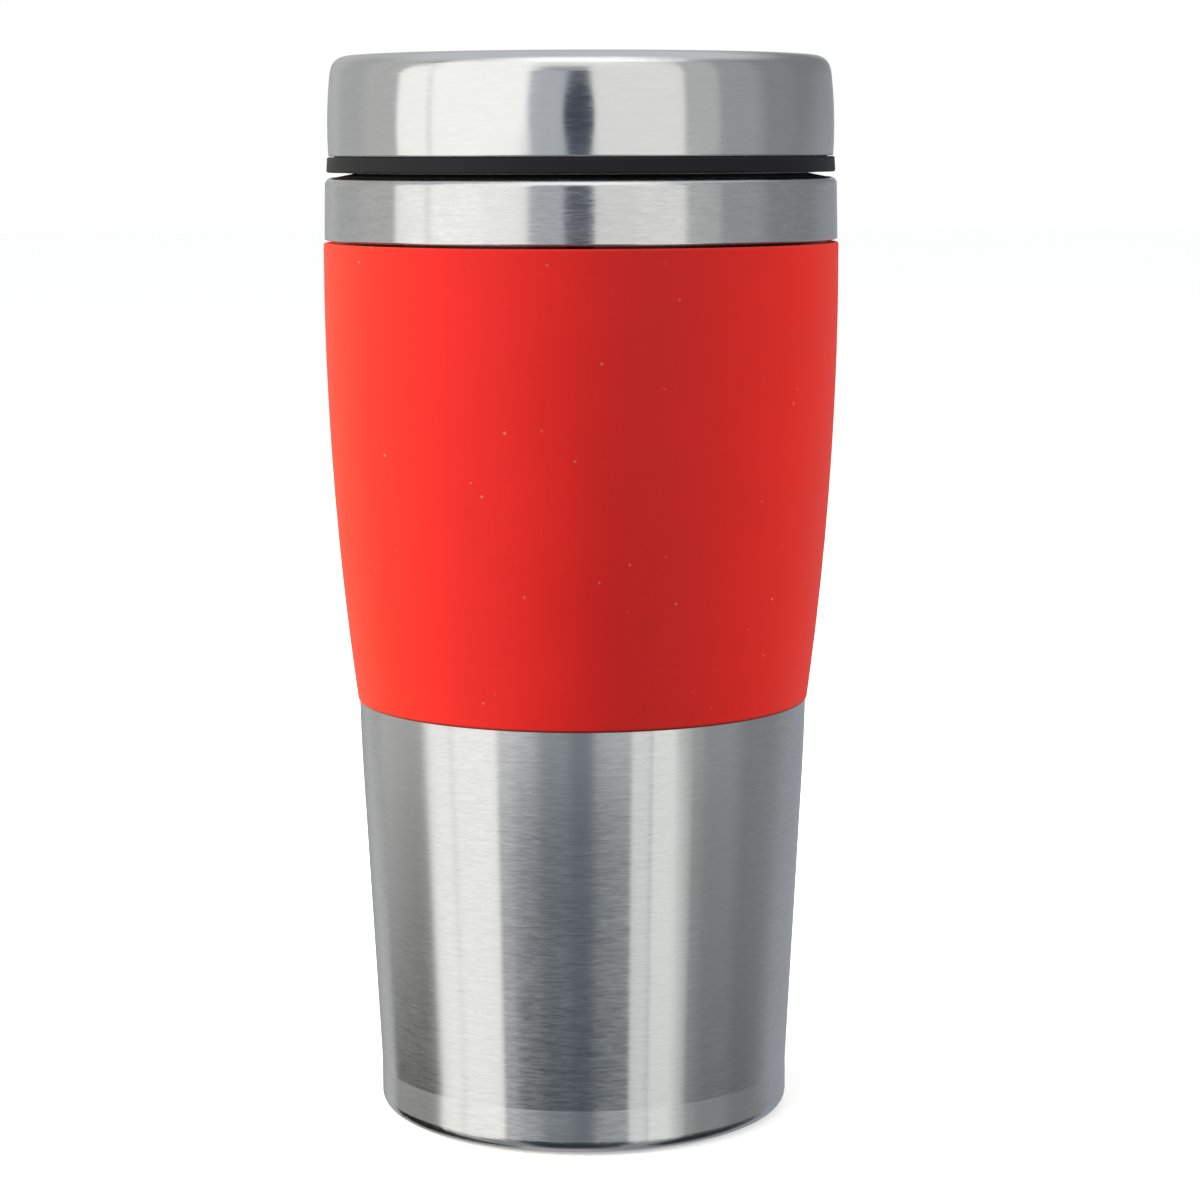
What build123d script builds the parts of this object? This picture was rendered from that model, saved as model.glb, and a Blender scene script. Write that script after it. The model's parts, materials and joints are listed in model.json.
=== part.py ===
from build123d import *
import math
import os

# Insulated travel mug, 480 ml, with a screw-on lid and a thumb slider. Millimetres, +Z up.
# The origin is the centre of the foot, on the surface that the mug stands on. -Y is the drinking side.

# ---- overall shape ----
TOTAL_HEIGHT = 176.1
MAX_RADIUS = 42.5                # widest point of the grip sleeve
STEEL = 0.5                      # sheet thickness of the visible steel parts
SNUG = 0.05                      # gap between parts that are pushed together

# ---- outer shell: foot, cone, waist under the sleeve, seat under the collar ----
FOOT_RADIUS = 34.33
FOOT_TOP_Z = 7.66                # the foot is a short cylinder, and the cone starts above it
FOOT_CORNER = 2.2
SHELL_BOTTOM_Z = 0.3             # the rubber pad stands this far below the steel
BASE_HOLE_RADIUS = 31.0
CONE_SLOPE = 0.0535              # radius gained per millimetre of height
CONE_TOP_Z = 56.0
CONE_TOP_BEND = 470.0            # the cone straightens along this radius above CONE_TOP_Z
SHELL_SEAT_RADIUS = 41.45
SHELL_SEAT_Z = 146.2
SHELL_TOP_Z = 154.4

# ---- grip sleeve ----
SLEEVE_BOTTOM_Z = 70.0
SLEEVE_TOP_Z = 145.85            # leaves a dark joint line under the collar
SLEEVE_WIDEST_Z = 142.5
SLEEVE_BARREL_RADIUS = 545.0     # curvature of the sleeve's side
SLEEVE_WALL = 1.8
SLEEVE_EDGE = 0.35

# ---- collar ----
COLLAR_BOTTOM_Z = 146.3
COLLAR_TOP_Z = 156.5
COLLAR_BOTTOM_RADIUS = 42.3
COLLAR_TOP_RADIUS = 42.15
COLLAR_EDGE = 1.2
COLLAR_FOOT_EDGE = 0.3
COLLAR_MOUTH_RADIUS = 40.8

# ---- base ----
PAD_RADIUS = 29.6
PAD_TOP_Z = 2.0
PAD_GROOVES = (10.0, 16.0, 22.0)
PAD_GROOVE_WIDTH = 1.6
PAD_GROOVE_DEPTH = 0.5
PAD_EDGE = 0.6
BASE_PLATE_TOP_Z = PAD_TOP_Z + STEEL
BASE_PLATE_RIM_RADIUS = 32.1

# ---- steel liner that holds the drink ----
LINER_WALL = 0.4
LINER_MOUTH_RADIUS = 36.6        # inside
LINER_FLANGE_RADIUS = 40.7
LINER_FLANGE_Z = 146.85          # underside, on the shell's seat
LINER_NECK_Z = 132.0             # below this the liner tapers
LINER_FOOT_RADIUS = 29.6
LINER_FLOOR_Z = 8.0
LINER_CORNER = 6.0
LINER_SEAL_INNER_RADIUS = 36.9
LINER_SEAL_OUTER_RADIUS = 40.5

# ---- black neck ring with the inside thread ----
NECK_BOTTOM_Z = 148.35
NECK_TOP_Z = 157.15
NECK_EDGE_Z = 156.45
NECK_OUTER_RADIUS = 40.75
NECK_CROWN_RADIUS = 37.3
NECK_BORE_RADIUS = 36.2
NECK_WALL = 1.7
NECK_TOP_THICKNESS = 2.3
NECK_LEAD_IN = 0.8

# ---- screw thread of the lid: three starts, right-handed ----
THREAD_STARTS = 3
THREAD_LEAD = 12.0               # rise in one full turn
THREAD_ARC = 110.0               # degrees that one start covers
THREAD_BASE = 2.0                # width of a ridge at its wall
THREAD_CREST = 1.2               # width of a ridge at its crest
THREAD_SINK = 0.4                # how far a ridge is let into its wall
INNER_THREAD_CREST_RADIUS = 34.9
INNER_THREAD_START_Z = 150.6
OUTER_THREAD_CREST_RADIUS = 35.9
OUTER_THREAD_START_ANGLE = 18.0
# Half a thread pitch below the neck's ridges, so that each side has the same play.
OUTER_THREAD_START_Z = (
    INNER_THREAD_START_Z
    - THREAD_LEAD / THREAD_STARTS / 2
    + THREAD_LEAD * OUTER_THREAD_START_ANGLE / 360
)

# ---- lid ----
SKIRT_BOTTOM_Z = 157.3
SKIRT_TOP_Z = 159.8
SKIRT_BOTTOM_RADIUS = 41.87
SKIRT_TOP_RADIUS = 41.76
SKIRT_EDGE = 0.3
CAP_BOTTOM_Z = 159.9
CAP_CROWN_RADIUS = 38.45         # the flat top ends here, and the shoulder begins
CAP_SHOULDER = 2.6
CAP_SHOULDER_LEAN = 16.0         # degrees from upright where the shoulder meets the wall's upper bend
CAP_BEND = 8.0                   # radius of that bend
CAP_WALL_LEAN = 6.0              # degrees from upright where the bend meets the slightly bellied wall
CAP_BELLY = 80.0                 # radius along the wall's belly
CAP_HEM = 0.25
CAP_LIP_RADIUS = 34.8            # inside of the turned-down lip around the recessed top
CAP_LIP_EDGE = 0.9
LID_WALL_RADIUS = 40.55
LID_WALL = 1.75
LID_FLOOR_Z = 159.2
LID_FLOOR_THICKNESS = 1.8
PLUG_RADIUS = 34.6
PLUG_WALL = 2.0
PLUG_BOTTOM_Z = 144.5
PLUG_CHAMFER = 0.3
GASKET_INNER_RADIUS = 36.6
GASKET_OUTER_RADIUS = 38.8
GASKET_BOTTOM_Z = 157.2
GASKET_TOP_Z = 158.75

# ---- recessed top deck, drink hole and vent ----
DECK_TOP_Z = 172.6
DECK_BOTTOM_Z = 169.9
DECK_RIM_GAP = 0.4                # keeps the deck's rim out of the steel lip's inner bend
DRINK_Y = -24.0
DRINK_LENGTH = 12.0              # along X
DRINK_WIDTH = 7.0
SPOUT_WALL = 1.5
VENT_Y = 27.0
VENT_RADIUS = 0.9
VENT_TUBE_RADIUS = 2.2

# ---- thumb slider ----
SLIDER_TRAVEL = 14.0             # towards +Y opens the drink hole
SLIDER_WIDTH = 16.0
SLIDER_LENGTH = 34.0
SLIDER_Y = -13.0                 # its middle when closed
SLIDER_TOP_Z = 174.5
SLIDER_PLAY = 0.15
TRACK_DEPTH = 1.0
TRACK_FLOOR_Z = DECK_TOP_Z - TRACK_DEPTH
STEM_Y = -6.0                    # middle of the slider's stem when closed
STEM_WIDTH = 4.6
STEM_LENGTH = 6.0
CLIP_WIDTH = 9.0
CLIP_LENGTH = 10.0
CLIP_TOP_Z = DECK_BOTTOM_Z - 0.2
CLIP_THICKNESS = 1.8
SLIDER_SEAL_DEPTH = 0.9
SLIDER_SEAL_LAP = 1.15           # how far the pad covers the edge of the drink hole
RIB_COUNT = 5
RIB_SPACING = 2.4
RIB_Y = -3.0                     # middle of the finger ribs when closed
RIB_LENGTH = 10.0
RIB_WIDTH = 1.1
RIB_HEIGHT = 0.7
RIB_ROOT = 0.2                   # how far a rib is let into the slider
SLIDER_EDGE = 0.8

# ---- tray under the deck that the clip runs in ----
TRAY_WALL = 1.5
TRAY_FLOOR_Z = 167.6
TRAY_BOTTOM_Z = 166.2
EAR_X = 10.5
EAR_Y = 1.0
EAR_RADIUS = 3.0
EAR_THICKNESS = 1.4
SCREW_RADIUS = 1.1
SCREW_HEAD_RADIUS = 2.0
SCREW_HEAD_HEIGHT = 1.2
SCREW_LENGTH = 3.4
DRIVE_LENGTH = 2.2               # cross slots in the heads
DRIVE_WIDTH = 0.5
DRIVE_DEPTH = 0.7

# ---- inner cover of the lid ----
COVER_RADIUS = 33.5
COVER_THICKNESS = 1.6
COVER_SEAL_THICKNESS = 0.8
COVER_SEAL_INNER_RADIUS = 32.0
COVER_HOLES = 14
COVER_HOLE_RADIUS = 1.9
COVER_HOLE_CIRCLE = 24.0

# ---- foam ----
FOAM_GAP = 0.3
FOAM_TOP_Z = 146.0
LID_FOAM_BOTTOM_Z = 161.2
LID_FOAM_TOP_Z = 165.9

DIAGONAL = math.sqrt(0.5)

# The cap's wall leans outwards at its foot by whatever brings the hem down to CAP_BOTTOM_Z.
SHOULDER_SINE = math.sin(math.radians(CAP_SHOULDER_LEAN))
WALL_SINE = math.sin(math.radians(CAP_WALL_LEAN))
CAP_WALL_HEIGHT = (
    TOTAL_HEIGHT
    - CAP_BOTTOM_Z
    - CAP_SHOULDER * (1 - SHOULDER_SINE)
    - CAP_BEND * (SHOULDER_SINE - WALL_SINE)
)
CAP_FOOT_LEAN = math.degrees(math.asin(WALL_SINE - CAP_WALL_HEIGHT / CAP_BELLY))


def sleeve_radius(z):
    """Outside radius of the grip sleeve at height z."""
    return MAX_RADIUS - (z - SLEEVE_WIDEST_Z) ** 2 / (2 * SLEEVE_BARREL_RADIUS)


def cone_radius(z):
    """Outside radius of the shell's visible lower part at height z."""
    straight = FOOT_RADIUS + CONE_SLOPE * (z - FOOT_TOP_Z)
    return straight - max(z - CONE_TOP_Z, 0) ** 2 / (2 * CONE_TOP_BEND)


def middle(low, high):
    return (low + high) / 2


def arc_over(radius_at, low, high, inset=0.0):
    """Arc along a side whose radius at each height is given by radius_at."""
    heights = (low, middle(low, high), high)
    return ThreePointArc(*[(radius_at(z) - inset, z) for z in heights])


def rounded_corner(corner_x, corner_z, radius, side_x, side_z):
    """Quarter arc that rounds a corner; side_x and side_z point from the corner into the part."""
    centre_x = corner_x + side_x * radius
    centre_z = corner_z + side_z * radius
    return ThreePointArc(
        (centre_x, corner_z),
        (centre_x - side_x * radius * DIAGONAL, centre_z - side_z * radius * DIAGONAL),
        (corner_x, centre_z),
    )


def cap_side(inset):
    """The cap's side from the flat top down to the hem, drawn inset into the sheet: (shoulder, wall)."""
    shoulder = JernArc(
        (CAP_CROWN_RADIUS, TOTAL_HEIGHT - inset), (1, 0), CAP_SHOULDER - inset, CAP_SHOULDER_LEAN - 90
    )
    bend = JernArc(shoulder @ 1, shoulder % 1, CAP_BEND - inset, CAP_WALL_LEAN - CAP_SHOULDER_LEAN)
    wall = JernArc(bend @ 1, bend % 1, CAP_BELLY - inset, CAP_FOOT_LEAN - CAP_WALL_LEAN)
    return shoulder, wall


def shell_section(inset):
    """Half section of the solid inside the shell's skin, with the skin drawn inset further in."""
    bottom = SHELL_BOTTOM_Z + inset
    foot = FOOT_RADIUS - inset
    shoulder = SLEEVE_BOTTOM_Z - SNUG - inset
    seat = SHELL_SEAT_Z + inset
    with BuildSketch(Plane.XZ) as section:
        with BuildLine():
            corner = rounded_corner(foot, bottom, FOOT_CORNER - inset, -1, 1)
            cone_foot = Line(corner @ 1, (foot, FOOT_TOP_Z))
            cone = Line(cone_foot @ 1, (cone_radius(CONE_TOP_Z) - inset, CONE_TOP_Z))
            bend = arc_over(cone_radius, CONE_TOP_Z, shoulder, inset)
            waist_foot = (sleeve_radius(shoulder) - SLEEVE_WALL - inset, shoulder)
            Line(bend @ 1, waist_foot)
            waist = arc_over(sleeve_radius, shoulder, seat, SLEEVE_WALL + inset)
            Polyline(
                waist @ 1,
                (SHELL_SEAT_RADIUS - inset, seat),
                (SHELL_SEAT_RADIUS - inset, SHELL_TOP_Z),
                (0, SHELL_TOP_Z),
                (0, bottom),
                corner @ 0,
            )
        make_face()
    return section.sketch


def liner_section(outset):
    """Half section of the space inside the liner, grown by outset."""
    floor = LINER_FLOOR_Z - outset
    foot = LINER_FOOT_RADIUS + outset
    mouth = LINER_MOUTH_RADIUS + outset
    with BuildSketch(Plane.XZ) as section:
        with BuildLine():
            corner = rounded_corner(foot, floor, LINER_CORNER + outset, -1, 1)
            Polyline(
                corner @ 1,
                (mouth, LINER_NECK_Z),
                (mouth, LINER_FLANGE_Z + LINER_WALL),
                (0, LINER_FLANGE_Z + LINER_WALL),
                (0, floor),
                corner @ 0,
            )
        make_face()
    return section.sketch


def ring_section(inner, outer, low, high):
    """Rectangular half section of a ring."""
    with BuildSketch(Plane.XZ) as section:
        with Locations((middle(inner, outer), middle(low, high))):
            Rectangle(outer - inner, high - low)
    return section.sketch


def thread_ridge(wall_radius, crest_radius, start_z):
    """One start of the thread: a ridge that climbs right-handed from start_z at angle 0."""
    inward = 1 if crest_radius < wall_radius else -1
    depth = abs(crest_radius - wall_radius)
    with BuildPart() as ridge:
        with BuildLine() as path:
            Helix(THREAD_LEAD, THREAD_LEAD * THREAD_ARC / 360, wall_radius, (0, 0, start_z))
        start = Plane(path.line @ 0, x_dir=(-inward, 0, 0), z_dir=path.line % 0)
        with BuildSketch(start):
            with BuildLine():
                Polyline(
                    (-THREAD_SINK, -THREAD_BASE / 2),
                    (0, -THREAD_BASE / 2),
                    (depth, -THREAD_CREST / 2),
                    (depth, THREAD_CREST / 2),
                    (0, THREAD_BASE / 2),
                    (-THREAD_SINK, THREAD_BASE / 2),
                    close=True,
                )
            make_face()
        sweep(is_frenet=True)
    return ridge.part


os.makedirs("parts", exist_ok=True)
SHELL_OUTSIDE = shell_section(0)
SHELL_INSIDE = shell_section(STEEL)
LINER_INSIDE = liner_section(0)
LINER_OUTSIDE = liner_section(LINER_WALL)

# ================= mug body =================

with BuildPart() as outer_shell:
    add(SHELL_OUTSIDE)
    revolve(axis=Axis.Z)
    add(SHELL_INSIDE)
    revolve(axis=Axis.Z, mode=Mode.SUBTRACT)
    with BuildSketch(Plane.XY):
        Circle(BASE_HOLE_RADIUS)
    extrude(amount=SHELL_BOTTOM_Z + STEEL, mode=Mode.SUBTRACT)

with BuildPart() as base_plate:
    rim_z = SHELL_BOTTOM_Z + STEEL
    with BuildSketch(Plane.XZ):
        with BuildLine():
            Polyline(
                (0, PAD_TOP_Z),
                (PAD_RADIUS + SNUG, PAD_TOP_Z),
                (PAD_RADIUS + SNUG, rim_z),
                (BASE_PLATE_RIM_RADIUS, rim_z),
                (BASE_PLATE_RIM_RADIUS, rim_z + STEEL),
                (PAD_RADIUS + STEEL, rim_z + STEEL),
                (PAD_RADIUS + STEEL, BASE_PLATE_TOP_Z),
                (0, BASE_PLATE_TOP_Z),
                close=True,
            )
        make_face()
    revolve(axis=Axis.Z)

with BuildPart() as base_pad:
    with BuildSketch(Plane.XY):
        Circle(PAD_RADIUS)
    extrude(amount=PAD_TOP_Z)
    fillet(base_pad.edges().group_by(Axis.Z)[0], radius=PAD_EDGE)
    for groove_radius in PAD_GROOVES:
        with BuildSketch(Plane.XY):
            Circle(groove_radius + PAD_GROOVE_WIDTH / 2)
            Circle(groove_radius - PAD_GROOVE_WIDTH / 2, mode=Mode.SUBTRACT)
        extrude(amount=PAD_GROOVE_DEPTH, mode=Mode.SUBTRACT)

with BuildPart() as grip_sleeve:
    inner = SLEEVE_WALL - SNUG
    with BuildSketch(Plane.XZ):
        with BuildLine():
            outside = arc_over(sleeve_radius, SLEEVE_BOTTOM_Z, SLEEVE_TOP_Z)
            inside = arc_over(sleeve_radius, SLEEVE_BOTTOM_Z, SLEEVE_TOP_Z, inner)
            Line(outside @ 0, inside @ 0)
            Line(outside @ 1, inside @ 1)
        make_face()
    revolve(axis=Axis.Z)
    for rim in (0, -1):
        rim_edges = grip_sleeve.edges().group_by(Axis.Z)[rim]
        fillet(rim_edges.sort_by(SortBy.RADIUS)[-1], radius=SLEEVE_EDGE)

with BuildPart() as collar_ring:
    with BuildSketch(Plane.XZ):
        with BuildLine():
            outer_edge = rounded_corner(COLLAR_TOP_RADIUS, COLLAR_TOP_Z, COLLAR_EDGE, -1, -1)
            inner_edge = rounded_corner(
                COLLAR_TOP_RADIUS - STEEL, COLLAR_TOP_Z - STEEL, COLLAR_EDGE - STEEL, -1, -1
            )
            Line(outer_edge @ 1, (COLLAR_BOTTOM_RADIUS, COLLAR_BOTTOM_Z))
            Line(inner_edge @ 1, (COLLAR_BOTTOM_RADIUS - STEEL, COLLAR_BOTTOM_Z))
            Line((COLLAR_BOTTOM_RADIUS, COLLAR_BOTTOM_Z), (COLLAR_BOTTOM_RADIUS - STEEL, COLLAR_BOTTOM_Z))
            Polyline(
                outer_edge @ 0,
                (COLLAR_MOUTH_RADIUS, COLLAR_TOP_Z),
                (COLLAR_MOUTH_RADIUS, COLLAR_TOP_Z - STEEL),
                inner_edge @ 0,
            )
        make_face()
    revolve(axis=Axis.Z)
    foot_edges = collar_ring.edges().group_by(Axis.Z)[0]
    fillet(foot_edges.sort_by(SortBy.RADIUS)[-1], radius=COLLAR_FOOT_EDGE)

with BuildPart() as liner:
    add(LINER_OUTSIDE)
    revolve(axis=Axis.Z)
    add(ring_section(
        LINER_MOUTH_RADIUS, LINER_FLANGE_RADIUS, LINER_FLANGE_Z, LINER_FLANGE_Z + LINER_WALL
    ))
    revolve(axis=Axis.Z)
    add(LINER_INSIDE)
    revolve(axis=Axis.Z, mode=Mode.SUBTRACT)

with BuildPart() as liner_seal:
    add(ring_section(
        LINER_SEAL_INNER_RADIUS, LINER_SEAL_OUTER_RADIUS, LINER_FLANGE_Z + LINER_WALL, NECK_BOTTOM_Z
    ))
    revolve(axis=Axis.Z)

with BuildPart() as neck_ring:
    channel_top = NECK_EDGE_Z - NECK_TOP_THICKNESS
    with BuildSketch(Plane.XZ):
        with BuildLine():
            Polyline(
                (NECK_CROWN_RADIUS, NECK_TOP_Z),
                (NECK_OUTER_RADIUS, NECK_EDGE_Z),
                (NECK_OUTER_RADIUS, NECK_BOTTOM_Z),
                (NECK_OUTER_RADIUS - NECK_WALL, NECK_BOTTOM_Z),
                (NECK_OUTER_RADIUS - NECK_WALL, channel_top),
                (NECK_BORE_RADIUS + NECK_WALL, channel_top),
                (NECK_BORE_RADIUS + NECK_WALL, NECK_BOTTOM_Z),
                (NECK_BORE_RADIUS, NECK_BOTTOM_Z),
                (NECK_BORE_RADIUS, NECK_TOP_Z - NECK_LEAD_IN),
                (NECK_BORE_RADIUS + NECK_LEAD_IN, NECK_TOP_Z),
                close=True,
            )
        make_face()
    revolve(axis=Axis.Z)
    with PolarLocations(0, THREAD_STARTS):
        add(thread_ridge(NECK_BORE_RADIUS, INNER_THREAD_CREST_RADIUS, INNER_THREAD_START_Z))

with BuildPart() as insulation_sleeve:
    foam_bottom = LINER_FLOOR_Z + LINER_CORNER
    foam_step = SLEEVE_BOTTOM_Z - STEEL
    foam_inset = SLEEVE_WALL + STEEL + FOAM_GAP
    hidden_gap = LINER_WALL + FOAM_GAP
    with BuildSketch(Plane.XZ):
        with BuildLine():
            side = arc_over(sleeve_radius, foam_step, FOAM_TOP_Z, foam_inset)
            Polyline(
                side @ 1,
                (LINER_MOUTH_RADIUS + hidden_gap, FOAM_TOP_Z),
                (LINER_MOUTH_RADIUS + hidden_gap, LINER_NECK_Z),
                (LINER_FOOT_RADIUS + hidden_gap, foam_bottom),
                (cone_radius(foam_bottom) - STEEL - FOAM_GAP, foam_bottom),
                side @ 0,
            )
        make_face()
    revolve(axis=Axis.Z)

with BuildPart() as insulation_disc:
    with BuildSketch(Plane.XY.offset(BASE_PLATE_TOP_Z)):
        Circle(BASE_PLATE_RIM_RADIUS)
    extrude(amount=LINER_FLOOR_Z - LINER_WALL - BASE_PLATE_TOP_Z)

# ================= lid gasket =================

with BuildPart() as lid_gasket:
    add(ring_section(GASKET_INNER_RADIUS + SNUG, GASKET_OUTER_RADIUS - SNUG, GASKET_BOTTOM_Z, GASKET_TOP_Z))
    revolve(axis=Axis.Z)

# ================= lid =================

with BuildPart() as lid_cap:
    with BuildSketch(Plane.XZ):
        with BuildLine():
            outer_shoulder, outer_wall = cap_side(0)
            inner_shoulder, inner_wall = cap_side(STEEL)
            outer_lip = rounded_corner(CAP_LIP_RADIUS, TOTAL_HEIGHT, CAP_LIP_EDGE, 1, -1)
            inner_lip = rounded_corner(
                CAP_LIP_RADIUS + STEEL, TOTAL_HEIGHT - STEEL, CAP_LIP_EDGE - STEEL, 1, -1
            )
            Line(outer_wall @ 1, inner_wall @ 1)
            Line(outer_shoulder @ 0, outer_lip @ 0)
            Line(inner_shoulder @ 0, inner_lip @ 0)
            Polyline(
                outer_lip @ 1,
                (CAP_LIP_RADIUS, DECK_TOP_Z + SNUG),
                (CAP_LIP_RADIUS + STEEL, DECK_TOP_Z + SNUG),
                inner_lip @ 1,
            )
        make_face()
    revolve(axis=Axis.Z)
    fillet(lid_cap.edges().group_by(Axis.Z)[0].sort_by(SortBy.RADIUS)[-1], radius=CAP_HEM)

with BuildPart() as lid_body:
    cap_room = LID_WALL_RADIUS - LID_WALL
    floor_top = LID_FLOOR_Z + LID_FLOOR_THICKNESS
    rebate_z = PLUG_BOTTOM_Z + COVER_THICKNESS + COVER_SEAL_THICKNESS
    with BuildSketch(Plane.XZ):
        with BuildLine():
            skirt_foot = rounded_corner(SKIRT_BOTTOM_RADIUS, SKIRT_BOTTOM_Z, SKIRT_EDGE, -1, 1)
            skirt_head = rounded_corner(SKIRT_TOP_RADIUS, SKIRT_TOP_Z, SKIRT_EDGE, -1, -1)
            Line(skirt_foot @ 1, skirt_head @ 1)
            Polyline(
                skirt_head @ 0,
                (LID_WALL_RADIUS, SKIRT_TOP_Z),
                (LID_WALL_RADIUS, DECK_BOTTOM_Z),
                (cap_room, DECK_BOTTOM_Z),
                (cap_room, floor_top),
                (0, floor_top),
                (0, LID_FLOOR_Z),
                (PLUG_RADIUS - PLUG_WALL, LID_FLOOR_Z),
                (PLUG_RADIUS - PLUG_WALL, rebate_z),
                (COVER_RADIUS + SNUG, rebate_z),
                (COVER_RADIUS + SNUG, PLUG_BOTTOM_Z),
                (PLUG_RADIUS - PLUG_CHAMFER, PLUG_BOTTOM_Z),
                (PLUG_RADIUS, PLUG_BOTTOM_Z + PLUG_CHAMFER),
                (PLUG_RADIUS, SKIRT_BOTTOM_Z),
                (GASKET_INNER_RADIUS, SKIRT_BOTTOM_Z),
                (GASKET_INNER_RADIUS, GASKET_TOP_Z + SNUG),
                (GASKET_OUTER_RADIUS, GASKET_TOP_Z + SNUG),
                (GASKET_OUTER_RADIUS, SKIRT_BOTTOM_Z),
                skirt_foot @ 0,
            )
        make_face()
    revolve(axis=Axis.Z)
    with BuildSketch(Plane.XY.offset(LID_FLOOR_Z)):
        with Locations((0, DRINK_Y)):
            SlotOverall(DRINK_LENGTH + 2 * SPOUT_WALL + 2 * SNUG, DRINK_WIDTH + 2 * SPOUT_WALL + 2 * SNUG)
        with Locations((0, VENT_Y)):
            Circle(VENT_TUBE_RADIUS + SNUG)
    extrude(amount=LID_FLOOR_THICKNESS, mode=Mode.SUBTRACT)
    with PolarLocations(0, THREAD_STARTS, start_angle=OUTER_THREAD_START_ANGLE):
        add(thread_ridge(PLUG_RADIUS, OUTER_THREAD_CREST_RADIUS, OUTER_THREAD_START_Z))

with BuildPart() as lid_deck:
    with BuildSketch(Plane.XY.offset(DECK_BOTTOM_Z)):
        Circle(LID_WALL_RADIUS)
    extrude(amount=DECK_TOP_Z - DECK_BOTTOM_Z)
    # A raised rim inside the cap carries the steel around the recess.
    with BuildSketch(Plane.XY.offset(DECK_TOP_Z)):
        Circle(CAP_CROWN_RADIUS - DECK_RIM_GAP)
        Circle(CAP_LIP_RADIUS + STEEL + DECK_RIM_GAP, mode=Mode.SUBTRACT)
    extrude(amount=TOTAL_HEIGHT - STEEL - SNUG - DECK_TOP_Z)
    with BuildSketch(Plane.XY.offset(LID_FLOOR_Z)):
        with Locations((0, DRINK_Y)):
            SlotOverall(DRINK_LENGTH + 2 * SPOUT_WALL, DRINK_WIDTH + 2 * SPOUT_WALL)
        with Locations((0, VENT_Y)):
            Circle(VENT_TUBE_RADIUS)
    extrude(amount=DECK_BOTTOM_Z - LID_FLOOR_Z)
    with BuildSketch(Plane.XY.offset(TRACK_FLOOR_Z)):
        with Locations((0, SLIDER_Y + SLIDER_TRAVEL / 2)):
            SlotOverall(
                SLIDER_LENGTH + SLIDER_TRAVEL + 2 * SLIDER_PLAY, SLIDER_WIDTH + 2 * SLIDER_PLAY, rotation=90
            )
    extrude(amount=TRACK_DEPTH, mode=Mode.SUBTRACT)
    with BuildSketch(Plane.XY.offset(LID_FLOOR_Z)):
        with Locations((0, DRINK_Y)):
            SlotOverall(DRINK_LENGTH, DRINK_WIDTH)
        with Locations((0, VENT_Y)):
            Circle(VENT_RADIUS)
    extrude(amount=DECK_TOP_Z - LID_FLOOR_Z, mode=Mode.SUBTRACT)
    with BuildSketch(Plane.XY.offset(DECK_BOTTOM_Z)):
        with Locations((0, STEM_Y + SLIDER_TRAVEL / 2)):
            Rectangle(STEM_WIDTH + 2 * SLIDER_PLAY, STEM_LENGTH + SLIDER_TRAVEL + 2 * SLIDER_PLAY)
    extrude(amount=DECK_TOP_Z - DECK_BOTTOM_Z, mode=Mode.SUBTRACT)
    with BuildSketch(Plane.XY.offset(DECK_BOTTOM_Z)):
        with Locations((EAR_X, EAR_Y), (-EAR_X, EAR_Y)):
            Circle(SCREW_RADIUS)
    extrude(amount=SCREW_LENGTH - EAR_THICKNESS + SNUG, mode=Mode.SUBTRACT)

with BuildPart() as track_tray:
    tray_width = CLIP_WIDTH + 4 * SLIDER_PLAY
    tray_length = CLIP_LENGTH + SLIDER_TRAVEL + 4 * SLIDER_PLAY
    with BuildSketch(Plane.XY.offset(TRAY_BOTTOM_Z)):
        with Locations((0, STEM_Y + SLIDER_TRAVEL / 2)):
            RectangleRounded(tray_width + 2 * TRAY_WALL, tray_length + 2 * TRAY_WALL, TRAY_WALL)
    extrude(amount=DECK_BOTTOM_Z - TRAY_BOTTOM_Z)
    with BuildSketch(Plane.XY.offset(DECK_BOTTOM_Z - EAR_THICKNESS)):
        with Locations((0, EAR_Y)):
            SlotOverall(2 * (EAR_X + EAR_RADIUS), 2 * EAR_RADIUS)
    extrude(amount=EAR_THICKNESS)
    with BuildSketch(Plane.XY.offset(TRAY_FLOOR_Z)):
        with Locations((0, STEM_Y + SLIDER_TRAVEL / 2)):
            Rectangle(tray_width, tray_length)
    extrude(amount=DECK_BOTTOM_Z - TRAY_FLOOR_Z, mode=Mode.SUBTRACT)
    with BuildSketch(Plane.XY.offset(TRAY_BOTTOM_Z)):
        with Locations((EAR_X, EAR_Y), (-EAR_X, EAR_Y)):
            Circle(SCREW_RADIUS + SNUG)
    extrude(amount=DECK_BOTTOM_Z - TRAY_BOTTOM_Z, mode=Mode.SUBTRACT)

with BuildPart() as tray_screws:
    head_z = DECK_BOTTOM_Z - EAR_THICKNESS - SCREW_HEAD_HEIGHT
    with BuildSketch(Plane.XY.offset(head_z)):
        with Locations((EAR_X, EAR_Y), (-EAR_X, EAR_Y)):
            Circle(SCREW_HEAD_RADIUS)
    extrude(amount=SCREW_HEAD_HEIGHT)
    with BuildSketch(Plane.XY.offset(head_z + SCREW_HEAD_HEIGHT)):
        with Locations((EAR_X, EAR_Y), (-EAR_X, EAR_Y)):
            Circle(SCREW_RADIUS)
    extrude(amount=SCREW_LENGTH)
    with BuildSketch(Plane.XY.offset(head_z)):
        with Locations((EAR_X, EAR_Y), (-EAR_X, EAR_Y)):
            Rectangle(DRIVE_LENGTH, DRIVE_WIDTH)
            Rectangle(DRIVE_WIDTH, DRIVE_LENGTH)
    extrude(amount=DRIVE_DEPTH, mode=Mode.SUBTRACT)

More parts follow.
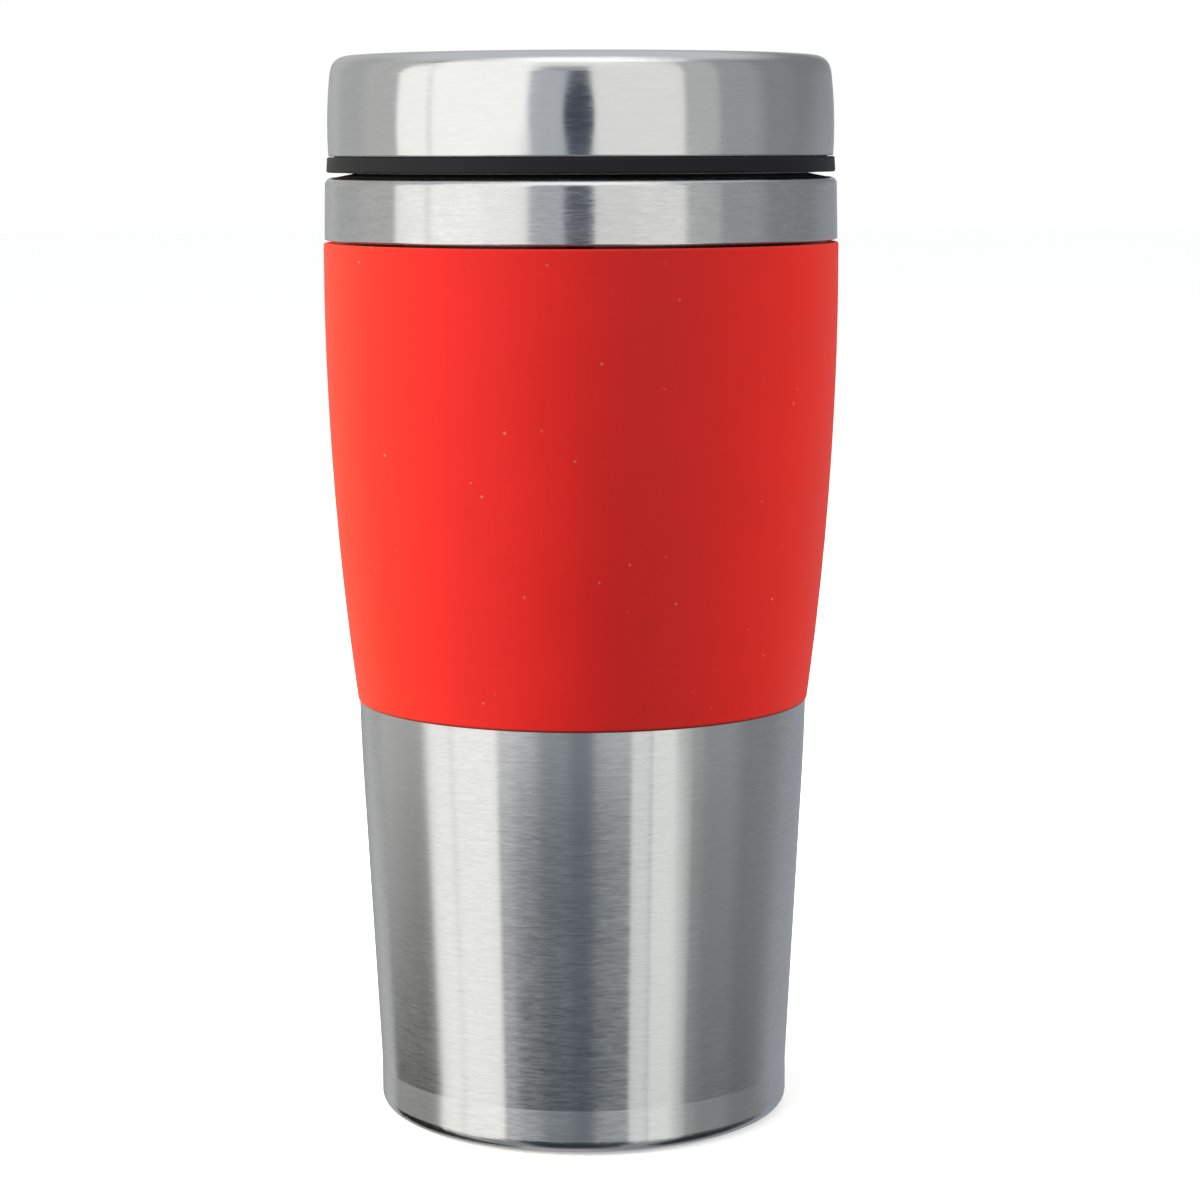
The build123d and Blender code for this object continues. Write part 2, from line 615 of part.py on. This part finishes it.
with BuildPart() as lid_insulation:
    with BuildSketch(Plane.XY.offset(LID_FOAM_BOTTOM_Z)):
        Circle(LID_WALL_RADIUS - LID_WALL - FOAM_GAP)
        with Locations((0, DRINK_Y)):
            SlotOverall(
                DRINK_LENGTH + 2 * (SPOUT_WALL + FOAM_GAP),
                DRINK_WIDTH + 2 * (SPOUT_WALL + FOAM_GAP),
                mode=Mode.SUBTRACT,
            )
        with Locations((0, VENT_Y)):
            Circle(VENT_TUBE_RADIUS + FOAM_GAP, mode=Mode.SUBTRACT)
    extrude(amount=LID_FOAM_TOP_Z - LID_FOAM_BOTTOM_Z)

with BuildPart() as inner_cover:
    with BuildSketch(Plane.XY.offset(PLUG_BOTTOM_Z)):
        Circle(COVER_RADIUS)
        with PolarLocations(COVER_HOLE_CIRCLE, COVER_HOLES):
            Circle(COVER_HOLE_RADIUS, mode=Mode.SUBTRACT)
    extrude(amount=COVER_THICKNESS)

with BuildPart() as cover_seal:
    seal_bottom = PLUG_BOTTOM_Z + COVER_THICKNESS
    add(ring_section(
        COVER_SEAL_INNER_RADIUS, COVER_RADIUS - 2 * SNUG, seal_bottom, seal_bottom + COVER_SEAL_THICKNESS
    ))
    revolve(axis=Axis.Z)

# ================= slider =================

seal_length = DRINK_LENGTH + 2 * SLIDER_SEAL_LAP
seal_width = DRINK_WIDTH + 2 * SLIDER_SEAL_LAP

with BuildPart() as thumb_slider:
    slider_bottom = TRACK_FLOOR_Z + 2 * SNUG
    with BuildSketch(Plane.XY.offset(slider_bottom)):
        with Locations((0, SLIDER_Y)):
            SlotOverall(SLIDER_LENGTH, SLIDER_WIDTH, rotation=90)
    extrude(amount=SLIDER_TOP_Z - slider_bottom)
    fillet(thumb_slider.edges().group_by(Axis.Z)[-1], radius=SLIDER_EDGE)
    with BuildSketch(Plane.XY.offset(SLIDER_TOP_Z - RIB_ROOT)):
        for rib in range(RIB_COUNT):
            with Locations((0, RIB_Y + (rib - (RIB_COUNT - 1) / 2) * RIB_SPACING)):
                SlotOverall(RIB_LENGTH, RIB_WIDTH)
    extrude(amount=RIB_ROOT + RIB_HEIGHT)
    with BuildSketch(Plane.XY.offset(CLIP_TOP_Z - CLIP_THICKNESS)):
        with Locations((0, STEM_Y)):
            Rectangle(STEM_WIDTH, STEM_LENGTH)
    extrude(amount=slider_bottom - CLIP_TOP_Z + CLIP_THICKNESS)
    with BuildSketch(Plane.XY.offset(slider_bottom)):
        with Locations((0, DRINK_Y)):
            SlotOverall(seal_length + 2 * SNUG, seal_width + 2 * SNUG)
    extrude(amount=SLIDER_SEAL_DEPTH, mode=Mode.SUBTRACT)

with BuildPart() as slider_seal:
    with BuildSketch(Plane.XY.offset(TRACK_FLOOR_Z + SNUG)):
        with Locations((0, DRINK_Y)):
            SlotOverall(seal_length, seal_width)
    extrude(amount=SLIDER_SEAL_DEPTH + SNUG)

with BuildPart() as slider_clip:
    with BuildSketch(Plane.XY.offset(CLIP_TOP_Z - CLIP_THICKNESS)):
        with Locations((0, STEM_Y)):
            Rectangle(CLIP_WIDTH, CLIP_LENGTH)
            Rectangle(STEM_WIDTH + SNUG, STEM_LENGTH + SNUG, mode=Mode.SUBTRACT)
    extrude(amount=CLIP_THICKNESS)

PIECES = {
    "outer_shell": outer_shell,
    "base_plate": base_plate,
    "base_pad": base_pad,
    "grip_sleeve": grip_sleeve,
    "collar_ring": collar_ring,
    "liner": liner,
    "liner_seal": liner_seal,
    "neck_ring": neck_ring,
    "insulation_sleeve": insulation_sleeve,
    "insulation_disc": insulation_disc,
    "lid_gasket": lid_gasket,
    "lid_cap": lid_cap,
    "lid_body": lid_body,
    "lid_deck": lid_deck,
    "track_tray": track_tray,
    "tray_screws": tray_screws,
    "lid_insulation": lid_insulation,
    "inner_cover": inner_cover,
    "cover_seal": cover_seal,
    "thumb_slider": thumb_slider,
    "slider_seal": slider_seal,
    "slider_clip": slider_clip,
}
for name, piece in PIECES.items():
    piece.part.label = name
    export_step(piece.part, f"parts/{name}.step")
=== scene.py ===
import json
import math

import bmesh
import bpy
from mathutils import Matrix, Vector


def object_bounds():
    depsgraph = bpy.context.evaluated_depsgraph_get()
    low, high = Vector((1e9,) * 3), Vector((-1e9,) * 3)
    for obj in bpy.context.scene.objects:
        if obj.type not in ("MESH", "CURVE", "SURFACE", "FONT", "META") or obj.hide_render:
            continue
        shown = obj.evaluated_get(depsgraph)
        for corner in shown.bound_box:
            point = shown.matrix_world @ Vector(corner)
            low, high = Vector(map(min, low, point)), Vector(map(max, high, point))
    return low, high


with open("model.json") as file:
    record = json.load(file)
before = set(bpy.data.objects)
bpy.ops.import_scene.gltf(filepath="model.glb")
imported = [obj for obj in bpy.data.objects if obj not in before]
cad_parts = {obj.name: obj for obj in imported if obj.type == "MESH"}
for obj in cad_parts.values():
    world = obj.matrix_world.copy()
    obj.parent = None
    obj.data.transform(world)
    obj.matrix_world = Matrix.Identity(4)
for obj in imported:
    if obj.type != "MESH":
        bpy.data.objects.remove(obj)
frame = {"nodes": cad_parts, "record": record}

CAD_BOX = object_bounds()
NODES = frame["nodes"]

# ---- the view: a 100 mm lens at the height of the lid, 0.55 m in front of the mug ----
CAMERA_PLACE = (0.002965, -0.5525, 0.1610)
CAMERA_DOWN = 7.73                  # degrees below the horizon
CAMERA_ROLL = 0.148                 # degrees clockwise
LENS = 99.63
SENSOR = 36.0

# ---- the studio: panels of light and shade round the mug, painted one over the other ----
# Angles are degrees. Azimuth 0 is in front of the mug and 90 on its right.
# (azimuth, elevation) of the middle, (half width, half height), roundness of the corners, softness, colour
ROOM = (0.27, 0.275, 0.28)
PANELS = [
    ((-140, 0), (62, 95), 6, 0.10, (0.52, 0.52, 0.51)),           # pale wall behind on the left
    ((-128, 0), (14, 80), 6, 0.50, (0.46, 0.46, 0.46)),           # a duller strip in it
    ((0, 90), (400, 48), 6, 0.25, (0.62, 0.63, 0.65)),            # ceiling
    ((0, 46), (48, 20), 2.5, 0.60, (1.35, 1.35, 1.33)),           # soft light above the front
    ((-67, -5), (23, 28), 3.5, 0.07, (1.13, 1.12, 1.07)),         # left soft box
    ((-46, 15), (27, 27), 4, 0.26, (1.17, 1.16, 1.12)),           # its upper part, round towards the front
    ((-71, -5), (1.6, 24), 4, 0.60, (0.96, 0.95, 0.92)),          # a fold in its cloth
    ((-6, -36), (36, 26), 6, 0.16, (0.54, 0.58, 0.61)),           # front edge of the table
    ((-5, -36), (17, 25), 4, 0.45, (0.34, 0.39, 0.43)),           # darker towards its middle
    ((-5, -46), (36, 29), 6, 0.14, (0.02, 0.03, 0.04)),           # and dark below it
    ((43, -17), (16.5, 12), 6, 0.07, (0.97, 0.99, 0.95)),         # right soft box, low
    ((30.5, -17), (5, 12), 6, 0.15, (0.84, 0.87, 0.85)),          # its near edge
    ((35.8, -17), (0.8, 12), 6, 0.60, (0.55, 0.57, 0.56)),        # and the pole beside it
    ((72, 4), (17, 30), 4, 0.40, (0.36, 0.365, 0.37)),            # grey wall on the right
    ((57, 8), (8, 22), 6, 0.25, (0.50, 0.51, 0.50)),              # frame of the right soft box
    ((26, 9), (22, 20), 5, 0.10, (0.88, 0.88, 0.85)),             # right soft box, high
    ((-12, 4), (11, 12), 2.5, 0.14, (0.50, 0.52, 0.55)),          # grey gap between the boxes
    ((-0.5, 2.8), (7.0, 9.6), 2.2, 0.10, (0.06, 0.07, 0.10)),     # dark camera
    ((-108, -12), (20, 7), 4, 0.30, (0.58, 0.58, 0.56)),          # edge of the table on the left
    ((-114, -44), (26, 27), 6, 0.10, (0.01, 0.01, 0.01)),         # its shadowed underside
    ((100, -45), (40, 24), 6, 0.14, (0.02, 0.025, 0.025)),        # and the same on the right
    ((142, 14), (28, 18), 6, 0.40, (0.23, 0.235, 0.24)),          # dark wall behind on the right
    ((165, -30), (40, 34), 4, 0.35, (0.34, 0.36, 0.39)),          # paler table behind
]
# place, diameter, watts and colour of the large lights that give the matt parts their shading
SOFT_LIGHTS = {
    "key": ((-1.15, -0.35, 0.45), 0.7, 21.0, (1.0, 0.93, 0.76)),
    "fill": ((1.25, 0.12, 0.30), 0.5, 14.5, (1.0, 0.95, 0.92)),
    "rim": ((-1.05, 0.58, 0.35), 0.25, 34.0, (1.0, 0.86, 0.42)),
}
FLOOR_HALF_SIZE = 6.0
FLOOR_GAP = 0.00005                 # keeps the floor off the face of the rubber pad
FLOOR_GREYS = (0.92, 0.94)
FLOOR_CLOUD_SCALE = 3.0
FLOOR_ROUGHNESS = 0.9
FLOOR_GLOW = 0.35                   # lifts the floor towards white

# ---- the materials' patterns: heights and depths in metres ----
# Noises: cells per metre, detail, roughness
STEEL_CLOUD = (28.0, 3.0, 0.55)
GRIP_GRAIN = (5200.0, 2.0, 0.6)
GRIP_CLOUD = (55.0, 4.0, 0.6)
PLASTIC_GRAIN = (3600.0, 3.0, 0.6)
PLASTIC_CLOUD = (90.0, 3.0, 0.5)
RUBBER_GRAIN = (2400.0, 3.0, 0.6)
RUBBER_CLOUD = (70.0, 3.0, 0.5)
NOISE_RANGE = (0.3, 0.7)            # most values of a noise lie between these

# Brushing, from the shortest dashes to the longest: share of the whole, dashes per metre along and across
DASHES = ((0.40, 800.0, 5200.0), (0.40, 420.0, 2900.0), (0.20, 150.0, 1500.0))
DASH_NOISE = (1.0, 2.0, 0.55)       # a scale of 1, because the dashes' grid is already scaled
DASH_RANGE = (0.35, 0.65)           # and most values of the three layers of dashes added up
DASH_ROUGHNESS = 0.03               # how far the roughness varies from dash to dash
CLOUD_VARIATION = 0.02              # and how far shade and roughness vary over larger patches
TANGENT_TURN = 0.25                 # a quarter turn puts the streaks of light across the brushing
# Painted shade: a dark line at the joint between the sleeve and the collar, for the shadow in the gap there:
# the heights over which it fades in and out
JOINT_SHADOW_LOW = (0.1452, 0.1456)
JOINT_SHADOW_HIGH = (0.14626, 0.14629)
JOINT_PAINTED_SHADE = 0.03
CAP_HEM = (0.16005, 0.16020)        # heights over which the cap's cut hem turns into its bright wall
DULL_EDGE_ROUGHNESS = 0.7

# The red sleeve
GRIP_COLOURS = ((0.565, 0.004, 0.010, 1.0), (0.61, 0.0055, 0.012, 1.0))
GRIP_ROUGHNESS = (0.42, 0.50)
GRIP_GRAIN_SHARE = 0.6              # the rest of its relief is the larger cloud
GRIP_DEPTH = 0.00004
SLEEVE_HEM_SHADOW_HEIGHTS = (0.07015, 0.07050)     # heights over which the painted shadow along its lower edge fades out
SLEEVE_HEM_PAINTED_SHADE = 0.45
DUST_CELLS = 260.0                  # per metre, each with one speck
DUST_EDGE = (0.03, 0.08)            # where a speck fades out, as a share of the cells' size
DUST_CHOSEN = (0.2, 0.9)            # the range of the cells' random values over which a speck grows stronger
DUST_COVER = 0.4                    # how much a speck hides at most
DUST_COLOUR = (0.9, 0.35, 0.3, 1.0)

# The plastic, the rubber and the foam: how far colour and roughness vary, and how deep the relief is
PLASTIC_SHADES = (0.85, 1.2)
PLASTIC_ROUGHNESS = 0.05
RUBBER_SHADES = (0.9, 1.1)
RUBBER_ROUGHNESS = 0.06
RUBBER_DEPTH = 0.00005
FOAM_CELLS = 900.0
FOAM_CELL_EDGE = 0.6
FOAM_COLOURS = ((0.85, 0.8, 0.66, 1.0), (0.7, 0.64, 0.5, 1.0))
FOAM_ROUGHNESS = 0.85
FOAM_DEPTH = 0.0003


# ================= shader helpers =================

class Graph:
    """A node tree under construction: short calls that add nodes and join them up."""

    def __init__(self, tree):
        self.tree = tree

    def node(self, kind, inputs=None, **settings):
        node = self.tree.nodes.new("ShaderNode" + kind)
        for key, value in settings.items():
            setattr(node, key, value)
        for key, value in (inputs or {}).items():
            self.join(value, node.inputs[key])
        return node

    def join(self, value, socket):
        """Links a socket, or sets a plain value."""
        if isinstance(value, bpy.types.NodeSocket):
            self.tree.links.new(value, socket)
        else:
            socket.default_value = value

    def math(self, operation, a, b=0.0, c=0.0):
        return self.node("Math", {0: a, 1: b, 2: c}, operation=operation).outputs[0]

    def place(self):
        """The point's place in the piece's own frame, in metres."""
        return self.node("TexCoord").outputs["Object"]

    def turned(self):
        """(angle about the mug's axis in radians, radius, height) of the point."""
        x, y, z = self.node("SeparateXYZ", {0: self.place()}).outputs
        angle = self.math("ARCTAN2", y, x)
        radius = self.math("SQRT", self.math("ADD", self.math("MULTIPLY", x, x), self.math("MULTIPLY", y, y)))
        return angle, radius, z

    def vector(self, x, y, z):
        return self.node("CombineXYZ", {0: x, 1: y, 2: z}).outputs[0]

    def noise(self, vector, scale, detail=2.0, roughness=0.5):
        inputs = {"Vector": vector, "Scale": scale, "Detail": detail, "Roughness": roughness}
        return self.node("TexNoise", inputs).outputs["Fac"]

    def span(self, value, low, high, to_low=0.0, to_high=1.0, smooth=False):
        """Maps low..high to to_low..to_high, and stops at both ends."""
        made = self.node("MapRange", {0: value, 1: low, 2: high, 3: to_low, 4: to_high})
        if smooth:
            made.interpolation_type = "SMOOTHSTEP"
        return made.outputs[0]

    def around(self, value, bounds, middle, spread):
        """Maps a value that runs between two bounds to a middle, give or take a spread."""
        return self.span(value, *bounds, middle - spread, middle + spread)

    def mix(self, factor, a, b, blend="MIX"):
        made = self.node("Mix", data_type="RGBA", blend_type=blend)
        self.join(factor, made.inputs[0])
        self.join(a, made.inputs[6])
        self.join(b, made.inputs[7])
        return made.outputs[2]

    def dimmed(self, colour, shade):
        """A colour times a grey, where 1 leaves it as it is."""
        greys = self.node("CombineColor", {0: shade, 1: shade, 2: shade}).outputs[0]
        return self.mix(1.0, colour, greys, "MULTIPLY")

    def bump(self, height, distance):
        return self.node("Bump", {"Height": height, "Distance": distance}).outputs[0]


class Shader(Graph):
    """A material under construction."""

    def __init__(self, name):
        self.material = bpy.data.materials.new(name)
        self.material.use_nodes = True
        super().__init__(self.material.node_tree)

    def set(self, **values):
        """Sets or links sockets of the Principled shader; underscores stand for spaces."""
        for key, value in values.items():
            self.join(value, self.tree.nodes["Principled BSDF"].inputs[key.replace("_", " ")])


def grey(value):
    return (value, value, value, 1.0)


def shades(colour, factors):
    """Two shades of a colour, each as the colour times a factor."""
    return [(*[part * factor for part in colour], 1.0) for factor in factors]


# ================= materials =================

def brushed_steel(name, colour, roughness, line_depth, streak, anisotropy, line_scale=1.0, dull_edge=None):
    """Stainless steel brushed round the mug: short fine dashes along the circumference, with a painted shadow
    line at the sleeve-collar joint.

    dull_edge is the range of heights over which a cut edge's matt finish turns into the sheet's own.
    """
    s = Shader(name)
    angle, radius, height = s.turned()
    along = s.math("MULTIPLY", angle, radius)
    layers = []
    for share, per_metre, rows_per_metre in DASHES:
        dash = s.math("MULTIPLY", along, per_metre * line_scale)
        row = s.math("MULTIPLY", height, rows_per_metre * line_scale)
        grid = s.vector(dash, share, row)       # the share is also the slice that is cut from the noise
        layers.append(s.math("MULTIPLY", s.noise(grid, *DASH_NOISE), share))
    lines = s.math("ADD", s.math("ADD", layers[0], layers[1]), layers[2])
    cloud = s.around(s.noise(s.place(), *STEEL_CLOUD), NOISE_RANGE, 0.0, CLOUD_VARIATION)
    shade = s.math("ADD", s.around(lines, DASH_RANGE, 1.0, streak), cloud)
    # Painted shade: a thin band at the sleeve-collar joint is darkened to stand for the shadow in the gap
    # there.
    joint = s.math("MULTIPLY", s.span(height, *JOINT_SHADOW_LOW), s.span(height, *JOINT_SHADOW_HIGH, 1.0, 0.0))
    shade = s.math("MULTIPLY", shade, s.span(joint, 0.0, 1.0, 1.0, JOINT_PAINTED_SHADE))
    rough = s.math("ADD", s.around(lines, DASH_RANGE, roughness, DASH_ROUGHNESS), cloud)
    if dull_edge is not None:
        rough = s.math("MAXIMUM", rough, s.span(height, *dull_edge, DULL_EDGE_ROUGHNESS, 0.0))
    tangent = s.node("Tangent", direction_type="RADIAL", axis="Z").outputs[0]
    s.set(Base_Color=s.dimmed((*colour, 1.0), shade), Metallic=1.0, Roughness=rough, Anisotropic=anisotropy,
          Anisotropic_Rotation=TANGENT_TURN, Tangent=tangent, Normal=s.bump(lines, line_depth))
    return s.material


def grip_rubber():
    """Satin silicone with a fine matte grain, a little dust and a painted shadow along its lower edge."""
    s = Shader("red_grip")
    grain = s.noise(s.place(), *GRIP_GRAIN)
    cloud = s.noise(s.place(), *GRIP_CLOUD)
    specks = s.node("TexVoronoi", {"Vector": s.place(), "Scale": DUST_CELLS, "Randomness": 1.0}).outputs
    chosen = s.span(s.node("SeparateColor", {0: specks["Color"]}).outputs[0], *DUST_CHOSEN)
    dust = s.math("MULTIPLY", s.span(specks["Distance"], *DUST_EDGE, 1.0, 0.0), chosen)
    colour = s.mix(s.span(cloud, *NOISE_RANGE), *GRIP_COLOURS)
    colour = s.mix(s.math("MULTIPLY", dust, DUST_COVER), colour, DUST_COLOUR)
    # Painted shade: the lowest part of the sleeve is darkened to stand for the shadow under its edge.
    colour = s.dimmed(colour, s.span(s.turned()[2], *SLEEVE_HEM_SHADOW_HEIGHTS, SLEEVE_HEM_PAINTED_SHADE, 1.0))
    relief = s.math("ADD", s.math("MULTIPLY", grain, GRIP_GRAIN_SHARE),
                    s.math("MULTIPLY", cloud, 1.0 - GRIP_GRAIN_SHARE))
    s.set(Base_Color=colour, Roughness=s.span(cloud, *NOISE_RANGE, *GRIP_ROUGHNESS),
          Normal=s.bump(relief, GRIP_DEPTH), Specular_IOR_Level=0.2, Sheen_Weight=0.18, Sheen_Roughness=0.85,
          Sheen_Tint=(1.0, 0.26, 0.08, 1.0))
    return s.material


def moulded_plastic(name, colour, roughness, grain_depth, specular):
    """Moulded plastic with a fine eroded texture."""
    s = Shader(name)
    grain = s.noise(s.place(), *PLASTIC_GRAIN)
    cloud = s.noise(s.place(), *PLASTIC_CLOUD)
    s.set(Base_Color=s.mix(s.span(cloud, *NOISE_RANGE), *shades(colour, PLASTIC_SHADES)),
          Roughness=s.around(cloud, NOISE_RANGE, roughness, PLASTIC_ROUGHNESS),
          Specular_IOR_Level=specular, Normal=s.bump(grain, grain_depth))
    return s.material


def soft_rubber(name, colour, roughness):
    """Matt rubber or silicone for seals and the pad."""
    s = Shader(name)
    grain = s.noise(s.place(), *RUBBER_GRAIN)
    cloud = s.noise(s.place(), *RUBBER_CLOUD)
    s.set(Base_Color=s.mix(s.span(cloud, *NOISE_RANGE), *shades(colour, RUBBER_SHADES)),
          Roughness=s.around(grain, NOISE_RANGE, roughness, RUBBER_ROUGHNESS),
          Normal=s.bump(grain, RUBBER_DEPTH))
    return s.material


def foam():
    """Cream foam with small cells."""
    s = Shader("foam")
    cells = s.node("TexVoronoi", {"Vector": s.place(), "Scale": FOAM_CELLS}).outputs["Distance"]
    s.set(Base_Color=s.mix(s.span(cells, 0.0, FOAM_CELL_EDGE), *FOAM_COLOURS), Roughness=FOAM_ROUGHNESS,
          Normal=s.bump(cells, FOAM_DEPTH))
    return s.material


MATERIALS = {
    "brushed_steel": brushed_steel(
        "brushed_steel", (0.72, 0.725, 0.73), roughness=0.17, line_depth=0.000004, streak=0.10,
        anisotropy=0.97),
    "polished_steel": brushed_steel(
        "polished_steel", (0.76, 0.765, 0.77), roughness=0.12, line_depth=0.000001, streak=0.03,
        anisotropy=0.7, line_scale=0.8, dull_edge=CAP_HEM),
    "liner_steel": brushed_steel(
        "liner_steel", (0.62, 0.62, 0.62), roughness=0.34, line_depth=0.00002, streak=0.06,
        anisotropy=0.5),
    "red_grip": grip_rubber(),
    "black_plastic": moulded_plastic(
        "black_plastic", (0.018, 0.0185, 0.020), roughness=0.42, grain_depth=0.00003, specular=0.5),
    "slider_plastic": moulded_plastic(
        "slider_plastic", (0.03, 0.031, 0.034), roughness=0.36, grain_depth=0.00002, specular=0.5),
    "silicone": soft_rubber("silicone", (0.5, 0.5, 0.48), roughness=0.6),
    "pad_rubber": soft_rubber("pad_rubber", (0.03, 0.03, 0.032), roughness=0.7),
    "foam": foam(),
    "screw_steel": brushed_steel(
        "screw_steel", (0.55, 0.55, 0.55), roughness=0.35, line_depth=0.00001, streak=0.05,
        anisotropy=0.3),
}
for part in frame["record"]["subparts"]:
    mesh = NODES[part["node"]].data
    mesh.materials.clear()
    mesh.materials.append(MATERIALS[part["material_slot"]])
# The skirt under the cap has a duller finish than the other black mouldings.
NODES["lid_body"].data.materials[0] = moulded_plastic(
    "skirt_plastic", (0.007, 0.0073, 0.010), roughness=0.5, grain_depth=0.00003, specular=0.25)


# ================= stage =================

def add_floor():
    """A pale floor that shows the mug's soft shadow and doesn't show in the steel."""
    mesh = bpy.data.meshes.new("floor")
    build = bmesh.new()
    bmesh.ops.create_grid(build, x_segments=1, y_segments=1, size=FLOOR_HALF_SIZE)
    build.to_mesh(mesh)
    build.free()
    floor = bpy.data.objects.new("floor", mesh)
    floor.location.z = -FLOOR_GAP
    bpy.context.scene.collection.objects.link(floor)
    s = Shader("floor")
    dark, pale = FLOOR_GREYS
    s.set(Base_Color=s.mix(s.noise(s.place(), FLOOR_CLOUD_SCALE), grey(dark), grey(pale)),
          Roughness=FLOOR_ROUGHNESS, Emission_Color=grey(1.0), Emission_Strength=FLOOR_GLOW)
    mesh.materials.append(s.material)
    floor.visible_glossy = False
    floor.visible_diffuse = False


def add_world():
    """A plain soft studio, drawn by direction: azimuth 0 is in front of the mug and 90 on its right."""
    world = bpy.data.worlds.new("studio")
    bpy.context.scene.world = world
    world.use_nodes = True
    g = Graph(world.node_tree)
    x, y, z = g.node("SeparateXYZ", {0: g.node("TexCoord").outputs["Generated"]}).outputs
    azimuth = g.math("DEGREES", g.math("ARCTAN2", x, g.math("MULTIPLY", y, -1.0)))
    elevation = g.math("DEGREES", g.math("ARCSINE", z))
    light = (*ROOM, 1.0)
    for middle, half, roundness, softness, colour in PANELS:
        reach = 0.0                 # 0 at the panel's middle, 1 at its edge
        for direction, centre, size in zip((azimuth, elevation), middle, half):
            offset = g.math("WRAP", g.math("SUBTRACT", direction, centre), 180.0, -180.0)
            share = g.math("DIVIDE", g.math("ABSOLUTE", offset), size)
            reach = g.math("ADD", reach, g.math("POWER", share, roundness))
        reach = g.math("POWER", reach, 1 / roundness)
        cover = g.span(reach, 1 - softness, 1 + softness, 1.0, 0.0, smooth=True)
        light = g.mix(cover, light, (*colour, 1.0))
    seen = g.node("LightPath").outputs["Is Camera Ray"]
    g.join(g.mix(seen, light, grey(1.0)), g.tree.nodes["Background"].inputs[0])


def add_soft_light(name, place, size, power, colour):
    """A round soft light, aimed at the middle of the mug, whose own shape doesn't show in the steel."""
    data = bpy.data.lights.new(name, "AREA")
    data.shape = "DISK"
    data.size = size
    data.energy = power
    data.color = colour
    light = bpy.data.objects.new(name, data)
    light.location = place
    aim = (Vector(CAD_BOX[0]) + Vector(CAD_BOX[1])) / 2 - light.location
    light.rotation_euler = aim.to_track_quat("-Z", "Y").to_euler()
    light.visible_glossy = False
    bpy.context.scene.collection.objects.link(light)


def add_camera():
    data = bpy.data.cameras.new("camera")
    data.lens = LENS
    data.sensor_width = SENSOR
    camera = bpy.data.objects.new("camera", data)
    camera.location = CAMERA_PLACE
    tilt = Matrix.Rotation(math.radians(90 - CAMERA_DOWN), 4, "X")
    roll = Matrix.Rotation(math.radians(-CAMERA_ROLL), 4, "Z")
    camera.rotation_euler = (tilt @ roll).to_euler()
    bpy.context.scene.collection.objects.link(camera)
    bpy.context.scene.camera = camera


add_floor()
add_world()
for name, settings in SOFT_LIGHTS.items():
    add_soft_light(name, *settings)
add_camera()
bpy.context.scene.view_settings.view_transform = "Standard"
